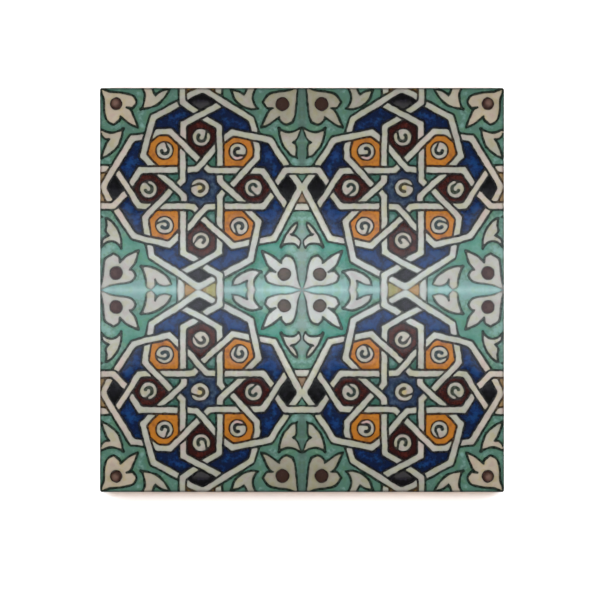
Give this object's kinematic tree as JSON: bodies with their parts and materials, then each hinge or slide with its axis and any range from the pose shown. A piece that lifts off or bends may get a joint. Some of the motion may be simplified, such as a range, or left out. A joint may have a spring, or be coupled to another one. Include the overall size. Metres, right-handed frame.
{
  "type": "hand-painted tile",
  "caption": "Square hand-painted ceramic tile with a mirrored knot-work of cream straps, spirals, stars and florals on teal.",
  "frame": {"origin": "centre of the back of the tile, on the plane that it rests on", "axes": "+Z out of the painted face, +Y towards the top of the pattern, +X to its right"},
  "size_m": [0.2, 0.2, 0.012],
  "materials": {
    "tile_ceramic": "gloss"
  },
  "bodies": {
    "root": {"tile": "tile_ceramic"}
  },
  "joints": []
}
